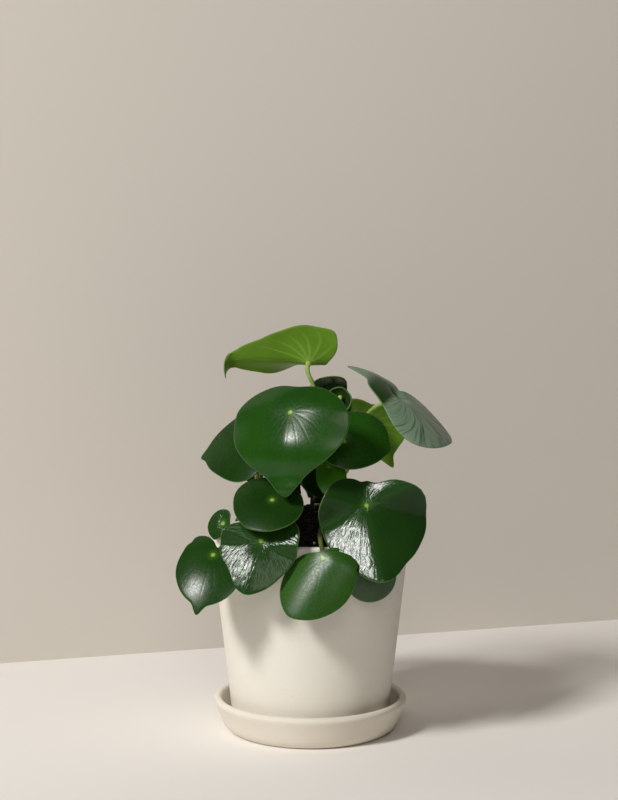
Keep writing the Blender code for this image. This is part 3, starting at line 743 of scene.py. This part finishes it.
def make_leaf(name, shape, skin, stalk):
    points, faces, flat, below = blade_mesh(shape)
    stalk_points, stalk_faces = petiole_mesh(shape)
    first = len(points)
    all_faces = faces + [tuple(first + k for k in face) for face in stalk_faces]
    all_points = np.array(list(points) + list(stalk_points)) * MM
    piece = mesh_piece(name + "_fine", all_points, all_faces, [skin, stalk])
    mesh = piece.data
    mesh.polygons.foreach_set("material_index", [0] * len(faces) + [1] * len(stalk_faces))
    add_layer(mesh, "blade", "FLOAT_VECTOR", list(flat) + [(0, 0, 0)] * len(stalk_points), "vector")
    add_layer(mesh, "below", "FLOAT", list(below) + [0.0] * len(stalk_points), "value")
    mesh.update()
    return piece


def claim(piece, node):
    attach(piece, "root")
    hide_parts(node)


GREEN_UNDER = (0.055, 0.130, 0.020)
DULL_UNDER = (0.06, 0.11, 0.05)
FRESH_UNDER = (0.10, 0.20, 0.04)
BLADES = {
    "dark": dict(upper=(0.013, 0.062, 0.0050), upper_light=(0.018, 0.080, 0.0060), under=GREEN_UNDER,
                 vein=(0.020, 0.082, 0.007), gloss=0.22, shine=0.22),
    "large": dict(upper=(0.0095, 0.050, 0.0036), upper_light=(0.0135, 0.064, 0.0046), under=GREEN_UNDER,
                  vein=(0.015, 0.066, 0.005), gloss=0.20, shine=0.23),
    "deep": dict(upper=(0.010, 0.042, 0.0050), upper_light=(0.014, 0.055, 0.0064),
                 under=(0.050, 0.120, 0.020), vein=(0.015, 0.057, 0.007), gloss=0.18, shine=0.165,
                 crinkle=0.4),
    "shaded": dict(upper=(0.008, 0.034, 0.0036), upper_light=(0.011, 0.044, 0.0046),
                   under=(0.016, 0.048, 0.008), vein=(0.012, 0.046, 0.006), gloss=0.24, shine=0.10,
                   under_vein=(0.030, 0.070, 0.012)),
    "crinkled": dict(upper=(0.012, 0.044, 0.0070), upper_light=(0.016, 0.056, 0.0085), under=GREEN_UNDER,
                     vein=(0.018, 0.060, 0.010), gloss=0.15, shine=0.18, crinkle=1.1),
    "low": dict(upper=(0.018, 0.066, 0.007), upper_light=(0.025, 0.084, 0.009), under=FRESH_UNDER,
                vein=(0.036, 0.105, 0.014), gloss=0.25, shine=0.20, crinkle=0.4),
    # A young pale-green leaf whose colour is made lighter still as painted light, where other leaves shade it
    "young_painted_light": dict(upper=(0.065, 0.245, 0.012), upper_light=(0.085, 0.290, 0.016), under=FRESH_UNDER,
                  vein=(0.070, 0.210, 0.016), gloss=0.25, shine=0.15, crinkle=0.4),
    "pale": dict(upper=(0.014, 0.065, 0.006), upper_light=(0.022, 0.090, 0.008), under=(0.130, 0.275, 0.020),
                 vein=(0.03, 0.10, 0.01), gloss=0.32, shine=0.12, crinkle=0.8, under_vein=(0.24, 0.42, 0.07)),
    "grey": dict(upper=(0.040, 0.080, 0.034), upper_light=(0.055, 0.105, 0.046), under=DULL_UNDER,
                 vein=(0.08, 0.13, 0.06), gloss=0.30, shine=0.3, crinkle=1.0),
    # Painted sheen: this kind's pale grey-green colour stands in for the bright wall reflected at a grazing
    # angle, on a green leaf
    "painted_sheen": dict(upper=(0.185, 0.275, 0.185), upper_light=(0.230, 0.325, 0.225), under=DULL_UNDER,
                    vein=(0.045, 0.095, 0.045), gloss=0.36, shine=0.35, crinkle=1.0, streaky=0.85),
}
blades = {kind: blade_material("leaf_" + kind, **look) for kind, look in BLADES.items()}
stalks = {
    "fresh": stalk_material("stalk_fresh", (0.26, 0.38, 0.08), (0.36, 0.48, 0.13)),
    "olive": stalk_material("stalk_olive", (0.060, 0.085, 0.020), (0.12, 0.15, 0.035)),
    "red": stalk_material("stalk_red", (0.12, 0.060, 0.030), (0.17, 0.10, 0.040)),
}

for name, shape in LEAVES.items():
    kind = next((kind for kind, names in KINDS.items() if name in names), "dark")
    stalk = "olive" if name in OLIVE_STALKS else "red" if name in RED_STALKS else "fresh"
    piece = make_leaf(name, shape, blades[kind], stalks[stalk])
    claim(piece, name)


# Stems

def make_stem(name, stem, surface, first_ring):
    """A stem that tapers, with low rings where older leaves stood."""
    level = soil_height(math.hypot(*stem["foot"]))
    foot = Vector((*stem["foot"], level - STEM_SINK))
    ground = Vector((*stem["foot"], level))
    top = Vector(stem["top"])
    line = smooth_line([foot, ground, ground.lerp(top, 0.5), top], STEM_CURVE_STEPS)
    height = line[:, 2]
    share = np.clip((height - level) / (top.z - level), 0, 1)
    radii = stem["radius"] * (1 - STEM_TAPER * share)
    for ring in np.arange(level + first_ring, top.z, STEM_RING_GAP):
        radii = radii * (1 + STEM_RING_SWELL * np.exp(-((height - ring) / STEM_RING_WIDTH) ** 2))
    radii[-4:] *= (0.97, 0.88, 0.72, 0.45)
    points, faces = tube_mesh(line, radii, STEM_SIDES)
    piece = mesh_piece(name + "_fine", np.array(points) * MM, faces, [surface])
    claim(piece, name)


bark = stalk_material("stem_bark", (0.020, 0.014, 0.008), (0.040, 0.032, 0.014), 0.5)
olive_bark = stalk_material("stem_olive", (0.030, 0.040, 0.010), (0.070, 0.080, 0.020), 0.45)
for order, (name, stem) in enumerate(STEMS.items()):
    make_stem(name, stem, olive_bark if name == "stem_4" else bark, STEM_FIRST_RING + order)


# Pot and saucer

def make_pot(surface):
    foot = SAUCER_FLOOR + GAP / MM
    floor = foot + POT_FLOOR
    lip = POT_RIM_HEIGHT - POT_LIP_ROUND
    base = foot + POT_FOOT_ROUND
    profile = arc((pot_radius(lip) - POT_LIP_ROUND, lip), POT_LIP_ROUND, 90, 0, ROUND_STEPS)
    profile += [(pot_radius(h), h) for h in np.linspace(lip - 4, base + 4, POT_SIDE_STEPS)]
    profile += arc((POT_BASE_RADIUS - POT_FOOT_ROUND, base), POT_FOOT_ROUND, 0, -90, ROUND_STEPS)
    profile += [(DRAIN_RADIUS, foot), (DRAIN_RADIUS, floor), (pot_radius(floor) - POT_WALL, floor)]
    profile += arc((pot_radius(lip) - POT_WALL + POT_LIP_ROUND, lip), POT_LIP_ROUND, 180, 90, ROUND_STEPS)
    piece = turned("pot_fine", profile, surface)
    claim(piece, "pot")


def make_saucer(surface):
    half = SAUCER_WALL / 2
    middle = (SAUCER_RIM_RADIUS - half, SAUCER_RIM_HEIGHT - half)
    profile = arc(middle, half, 90, 0, ROUND_STEPS)
    profile += [(SAUCER_RIM_RADIUS - inset, height) for inset, height in SAUCER_SIDE]
    profile += [(SAUCER_BASE_RADIUS, 0.0), (0.0, 0.0), (0.0, SAUCER_FLOOR)]
    profile += [(SAUCER_RIM_RADIUS - inset, height) for inset, height in reversed(SAUCER_WELL)]
    profile += arc(middle, half, 180, 112, 6)
    piece = turned("saucer_fine", profile, surface)
    claim(piece, "saucer")


make_pot(ceramic_material("pot_cream", (0.80, 0.77, 0.695), (0.79, 0.75, 0.66), (0.62, 0.57, 0.46)))
make_saucer(ceramic_material("saucer_cream", (0.77, 0.72, 0.64), (0.75, 0.69, 0.59), (0.57, 0.49, 0.37)))


# Soil: a crumbly dome, with clods and a few white grains pressed into it

def make_soil(surface, grain_surface):
    rng = random.Random(SOIL_SEED)
    rings, steps = SOIL_RINGS, SOIL_STEPS
    wall = pot_radius(SOIL_EDGE_HEIGHT) - POT_WALL - GAP / MM
    ranges = ((-wall, wall), (-wall, wall), (1.5, 4.5), (-0.8, 1.4))
    bumps = np.array([[rng.uniform(*ends) for ends in ranges] for _ in range(SOIL_BUMPS)])
    bump_x, bump_y, wide, tall = bumps.T

    def level(x, y):
        near = np.exp(-((x - bump_x) ** 2 + (y - bump_y) ** 2) / wide ** 2)
        return soil_height(math.hypot(x, y)) + float((near * tall).sum())

    points, faces = [(0, 0, level(0, 0))], []
    for ring in range(1, rings + 1):
        radius = wall * ring / rings
        for k in range(steps):
            a = 2 * math.pi * k / steps
            x, y = radius * math.cos(a), radius * math.sin(a)
            points.append((x, y, level(x, y) if ring < rings else SOIL_EDGE_HEIGHT - 1.0))
    faces += [(0, 1 + k, 1 + (k + 1) % steps) for k in range(steps)]
    faces += grid_faces(rings, steps, 1, flip=True)
    bottom = SOIL_EDGE_HEIGHT - SOIL_DEPTH
    low = pot_radius(bottom) - POT_WALL - GAP / MM
    first = len(points)
    points += [(low * math.cos(2 * math.pi * k / steps), low * math.sin(2 * math.pi * k / steps), bottom)
               for k in range(steps)]
    faces += grid_faces(2, steps, first - steps, flip=True)
    points.append((0, 0, bottom))
    faces += [(len(points) - 1, first + (k + 1) % steps, first + k) for k in range(steps)]
    dome = len(faces)

    def lump(x, y, size, height):
        """One rough clod with six sides; height is its middle's, above the soil."""
        start = len(points)
        z = level(x, y) + height
        turn = rng.uniform(0, math.pi)
        for layer, spread in ((-0.6, 0.7), (0.0, 1.0), (0.55, 0.65)):
            for k in range(6):
                a = turn + k * math.pi / 3
                reach = size * spread * rng.uniform(0.75, 1.2)
                points.append((x + reach * math.cos(a), y + reach * math.sin(a), z + layer * size))
        faces.append(tuple(start + 5 - k for k in range(6)))
        faces.extend(grid_faces(3, 6, start))
        faces.append(tuple(start + 12 + k for k in range(6)))

    def strew(count, smallest, largest, height):
        """Lumps anywhere on the soil, a little off the pot's wall."""
        for _ in range(count):
            angle = rng.uniform(0, 2 * math.pi)
            radius = (wall - 3) * math.sqrt(rng.random())
            lump(radius * math.cos(angle), radius * math.sin(angle), rng.uniform(smallest, largest), height)

    strew(SOIL_CLODS, 0.8, 2.3, 0.3)
    clods = len(faces)
    strew(SOIL_GRAINS, 0.5, 1.1, 0.5)
    lump(3.6, -8.0, 0.9, 0.5)
    piece = mesh_piece("soil_fine", np.array(points) * MM, faces, [surface, grain_surface], smooth=False)
    piece.data.polygons.foreach_set("material_index", [0] * clods + [1] * (len(faces) - clods))
    piece.data.polygons.foreach_set("use_smooth", [True] * dome + [False] * (len(faces) - dome))
    claim(piece, "soil")


make_soil(soil_material(), plain_material("white_grain", (0.75, 0.73, 0.68), 0.7, 900.0, (0.6, 0.58, 0.52)))


# Floor, wall, light and camera

def stage_quad(name, corners, surface):
    item = mesh_piece(name, corners, [(0, 1, 2, 3)], [surface], smooth=False)


def open_from_behind(surface):
    """Let the wall be seen through from its back, so that it doesn't hide the plant from that side."""
    tree = surface.node_tree
    side = tree.nodes.new("ShaderNodeNewGeometry")
    clear = tree.nodes.new("ShaderNodeBsdfTransparent")
    choice = tree.nodes.new("ShaderNodeMixShader")
    tree.links.new(side.outputs["Backfacing"], choice.inputs["Fac"])
    tree.links.new(tree.nodes["Principled BSDF"].outputs["BSDF"], choice.inputs[1])
    tree.links.new(clear.outputs["BSDF"], choice.inputs[2])
    tree.links.new(choice.outputs["Shader"], tree.nodes["Material Output"].inputs["Surface"])
    return surface


along_wall = (WALL_FOOT_RIGHT - WALL_FOOT_LEFT).normalized()
toward = Vector((along_wall.y, -along_wall.x, 0)) * FLOOR_REACH
far_left = WALL_FOOT_LEFT - along_wall * FLOOR_REACH
far_right = WALL_FOOT_LEFT + along_wall * FLOOR_REACH
stage_quad("floor", [far_left + toward, far_right + toward, far_right - toward, far_left - toward],
           plain_material("pale_table", (0.92, 0.888, 0.852), 0.8, 3.0, (0.90, 0.868, 0.832)))
wall_left = WALL_FOOT_LEFT - along_wall * WALL_REACH_LEFT
wall_right = WALL_FOOT_LEFT + along_wall * WALL_REACH_RIGHT
wall_rise = Vector((0, 0, WALL_HEIGHT))
wall_surface = plain_material("taupe_wall", (0.67, 0.627, 0.57), 0.9, 2.0, (0.655, 0.611, 0.554))
stage_quad("backdrop", [wall_left, wall_right, wall_right + wall_rise, wall_left + wall_rise],
           open_from_behind(wall_surface))


def area_light(name, azimuth, elevation, size, power, colour):
    """A soft square lamp that looks at the plant; azimuth turns from the front toward +X."""
    lamp = bpy.data.lights.new(name, "AREA")
    lamp.size = size
    lamp.energy = power
    lamp.color = colour
    item = bpy.data.objects.new(name, lamp)
    bpy.context.scene.collection.objects.link(item)
    a, e = math.radians(azimuth), math.radians(elevation)
    direction = Vector((math.sin(a) * math.cos(e), -math.cos(a) * math.cos(e), math.sin(e)))
    item.location = LAMP_GOAL + direction * LAMP_DISTANCE
    item.rotation_euler = (LAMP_GOAL - item.location).to_track_quat("-Z", "Y").to_euler()


area_light("key", -44, 38, 0.55, 75.0, (1.0, 0.985, 0.96))
area_light("front", 2, 31, 1.0, 13.5, (1.0, 0.95, 0.88))

world = bpy.data.worlds.new("studio")
bpy.context.scene.world = world
world.use_nodes = True
background = world.node_tree.nodes["Background"]
background.inputs["Color"].default_value = (1.0, 0.97, 0.94, 1)
background.inputs["Strength"].default_value = 0.02

camera = bpy.data.cameras.new("camera")
camera.lens = 75.95
camera.sensor_width = 36.0
camera_object = bpy.data.objects.new("camera", camera)
bpy.context.scene.collection.objects.link(camera_object)
camera_object.location = CAMERA_PLACE
camera_object.rotation_euler = (math.radians(90 - CAMERA_DOWNWARD), 0, 0)
bpy.context.scene.camera = camera_object
bpy.context.scene.view_settings.view_transform = "Standard"
